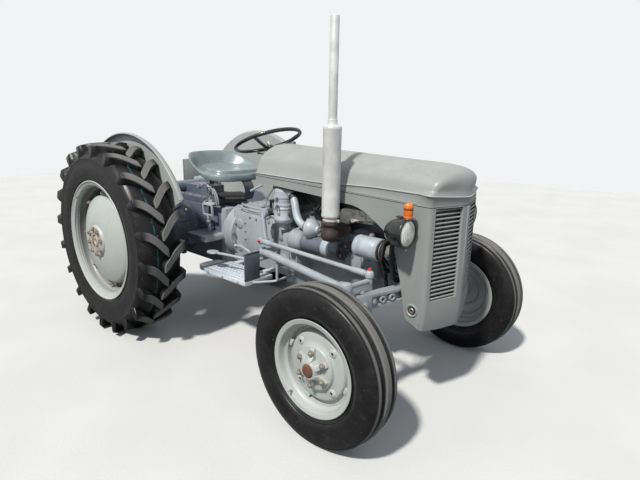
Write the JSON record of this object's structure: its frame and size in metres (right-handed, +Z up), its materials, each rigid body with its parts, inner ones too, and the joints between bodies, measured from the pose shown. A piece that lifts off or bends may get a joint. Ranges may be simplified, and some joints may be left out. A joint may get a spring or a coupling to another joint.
{
  "type": "vintage tractor",
  "caption": "Small vintage two-wheel-drive utility tractor in grey with an open driver's place, side exhaust stack, tilting bonnet and rear three-point linkage.",
  "frame": {"origin": "on the ground, at the centre of the overall bounding box's base", "axes": "+X forward, +Y left, +Z up"},
  "size_m": [2.921, 1.658, 1.845],
  "materials": {
    "front_support": "painted blue-grey, dusty",
    "front_axle": "painted blue-grey, dusty",
    "radius_rods": "painted steel",
    "engine": "painted blue-grey, dusty",
    "manifold": "rusted bare iron",
    "radiator": "black paint",
    "fan": "black paint",
    "gearbox_case": "painted blue-grey, dusty",
    "rear_axle_case": "painted blue-grey, dusty",
    "lift_cover": "painted blue-grey, dusty",
    "pto_shaft": "painted steel",
    "fuel_tank": "black paint",
    "dash": "black paint",
    "exhaust_stack": "aluminium paint",
    "air_cleaner": "satin blue-grey paint",
    "dynamo": "satin blue-grey paint",
    "starter": "black paint",
    "headlamps": "black paint",
    "lamp_lenses": "clear fluted glass",
    "indicators": "orange plastic",
    "footrests": "painted steel",
    "pedals": "painted steel",
    "seat": "gloss blue-grey enamel",
    "seat_spring": "black paint",
    "fenders": "satin grey paint, faded",
    "levers": "painted steel",
    "hood": "satin grey paint, faded",
    "nose": "satin grey paint, faded",
    "grille": "satin grey paint, faded",
    "steering_wheel": "black moulded rim",
    "drop_arm_r": "painted steel",
    "drop_arm_l": "painted steel",
    "drag_link_r": "painted steel",
    "drag_link_l": "painted steel",
    "knuckle_r": "painted steel",
    "knuckle_l": "painted steel",
    "wheel_fr": "light grey paint, dusty",
    "tyre_fr": "matte black rubber",
    "wheel_fl": "light grey paint, dusty",
    "tyre_fl": "matte black rubber",
    "wheel_rr": "light grey paint, dusty",
    "tyre_rr": "matte black rubber",
    "wheel_rl": "light grey paint, dusty",
    "tyre_rl": "matte black rubber",
    "lift_arms": "painted steel",
    "lift_rod_r": "painted steel",
    "lift_rod_l": "painted steel",
    "lower_link_r": "painted steel",
    "lower_link_l": "painted steel"
  },
  "bodies": {
    "chassis": {"front_support": "front_support", "front_axle": "front_axle", "radius_rods": "radius_rods", "engine": "engine", "manifold": "manifold", "radiator": "radiator", "fan": "fan", "gearbox_case": "gearbox_case", "rear_axle_case": "rear_axle_case", "lift_cover": "lift_cover", "pto_shaft": "pto_shaft", "fuel_tank": "fuel_tank", "dash": "dash", "exhaust_stack": "exhaust_stack", "air_cleaner": "air_cleaner", "dynamo": "dynamo", "starter": "starter", "headlamps": "headlamps", "lamp_lenses": "lamp_lenses", "indicators": "indicators", "footrests": "footrests", "pedals": "pedals", "seat": "seat", "seat_spring": "seat_spring", "fenders": "fenders", "levers": "levers"},
    "bonnet": {"hood": "hood", "nose": "nose", "grille": "grille"},
    "steering_wheel": {"steering_wheel": "steering_wheel"},
    "drop_arm_r": {"drop_arm_r": "drop_arm_r"},
    "drop_arm_l": {"drop_arm_l": "drop_arm_l"},
    "drag_link_r": {"drag_link_r": "drag_link_r"},
    "drag_link_l": {"drag_link_l": "drag_link_l"},
    "knuckle_r": {"knuckle_r": "knuckle_r"},
    "knuckle_l": {"knuckle_l": "knuckle_l"},
    "wheel_fr": {"wheel_fr": "wheel_fr", "tyre_fr": "tyre_fr"},
    "wheel_fl": {"wheel_fl": "wheel_fl", "tyre_fl": "tyre_fl"},
    "wheel_rr": {"wheel_rr": "wheel_rr", "tyre_rr": "tyre_rr"},
    "wheel_rl": {"wheel_rl": "wheel_rl", "tyre_rl": "tyre_rl"},
    "lift_arms": {"lift_arms": "lift_arms"},
    "lift_rod_r": {"lift_rod_r": "lift_rod_r"},
    "lift_rod_l": {"lift_rod_l": "lift_rod_l"},
    "lower_link_r": {"lower_link_r": "lower_link_r"},
    "lower_link_l": {"lower_link_l": "lower_link_l"}
  },
  "joints": [
    {"name": "steer_r", "type": "hinge", "parent": "chassis", "child": "knuckle_r", "pos_m": [1.1135, -0.525, 0.592], "axis": [0, 0, 1], "range_deg": [-30, 30]},
    {"name": "steer_l", "type": "hinge", "parent": "chassis", "child": "knuckle_l", "pos_m": [1.1135, 0.525, 0.592], "axis": [0, 0, 1], "range_deg": [-30, 30]},
    {"name": "steering_column", "type": "hinge", "parent": "chassis", "child": "steering_wheel", "pos_m": [0.0365, 0, 1.256], "axis": [-0.3762, 0, 0.9265], "range_deg": [-450, 450]},
    {"name": "drop_arm_swing_r", "type": "hinge", "parent": "chassis", "child": "drop_arm_r", "pos_m": [0.2805, -0.235, 0.858], "axis": [0, 1, 0], "range_deg": [-35, 35]},
    {"name": "drop_arm_swing_l", "type": "hinge", "parent": "chassis", "child": "drop_arm_l", "pos_m": [0.2805, 0.235, 0.858], "axis": [0, 1, 0], "range_deg": [-35, 35]},
    {"name": "drag_link_turn_r", "type": "hinge", "parent": "knuckle_r", "child": "drag_link_r", "pos_m": [1.1185, -0.36, 0.706], "axis": [0, 0, 1], "range_deg": [-35, 35]},
    {"name": "drag_link_turn_l", "type": "hinge", "parent": "knuckle_l", "child": "drag_link_l", "pos_m": [1.1185, 0.36, 0.706], "axis": [0, 0, 1], "range_deg": [-35, 35]},
    {"name": "wheel_spin_fr", "type": "hinge", "parent": "knuckle_r", "child": "wheel_fr", "pos_m": [1.0965, -0.665, 0.364], "axis": [0, 1, 0], "continuous": true},
    {"name": "wheel_spin_fl", "type": "hinge", "parent": "knuckle_l", "child": "wheel_fl", "pos_m": [1.0965, 0.665, 0.364], "axis": [0, 1, 0], "continuous": true},
    {"name": "wheel_spin_rr", "type": "hinge", "parent": "chassis", "child": "wheel_rr", "pos_m": [-0.6815, -0.678, 0.612], "axis": [0, 1, 0], "continuous": true},
    {"name": "wheel_spin_rl", "type": "hinge", "parent": "chassis", "child": "wheel_rl", "pos_m": [-0.6815, 0.678, 0.612], "axis": [0, 1, 0], "continuous": true},
    {"name": "bonnet_tilt", "type": "hinge", "parent": "chassis", "child": "bonnet", "pos_m": [1.2725, 0, 0.539], "axis": [0, 1, 0], "range_deg": [0, 65]},
    {"name": "lift", "type": "hinge", "parent": "chassis", "child": "lift_arms", "pos_m": [-0.8115, 0, 0.88], "axis": [0, 1, 0], "range_deg": [-15, 40]},
    {"name": "lower_link_swing_r", "type": "hinge", "parent": "chassis", "child": "lower_link_r", "pos_m": [-0.7115, -0.205, 0.43], "axis": [0, 1, 0], "range_deg": [-15, 32]},
    {"name": "lower_link_swing_l", "type": "hinge", "parent": "chassis", "child": "lower_link_l", "pos_m": [-0.7115, 0.205, 0.43], "axis": [0, 1, 0], "range_deg": [-15, 32]},
    {"name": "lift_rod_swing_r", "type": "hinge", "parent": "lift_arms", "child": "lift_rod_r", "pos_m": [-1.0815, -0.256, 0.88], "axis": [0, 1, 0], "range_deg": [-45, 20]},
    {"name": "lift_rod_swing_l", "type": "hinge", "parent": "lift_arms", "child": "lift_rod_l", "pos_m": [-1.0815, 0.256, 0.88], "axis": [0, 1, 0], "range_deg": [-45, 20]}
  ],
  "couplings": [
    {"joint": "steer_l", "follows": "steer_r", "ratio": 1},
    {"joint": "steering_column", "follows": "steer_r", "ratio": 15},
    {"joint": "drop_arm_swing_r", "follows": "steer_r", "ratio": 1.085},
    {"joint": "drop_arm_swing_l", "follows": "steer_r", "ratio": -1.085},
    {"joint": "drag_link_turn_r", "follows": "steer_r", "ratio": -1},
    {"joint": "drag_link_turn_l", "follows": "steer_r", "ratio": -1},
    {"joint": "lower_link_swing_r", "follows": "lift", "ratio": 0.62},
    {"joint": "lower_link_swing_l", "follows": "lift", "ratio": 0.62},
    {"joint": "lift_rod_swing_r", "follows": "lift", "ratio": -0.85},
    {"joint": "lift_rod_swing_l", "follows": "lift", "ratio": -0.85}
  ]
}
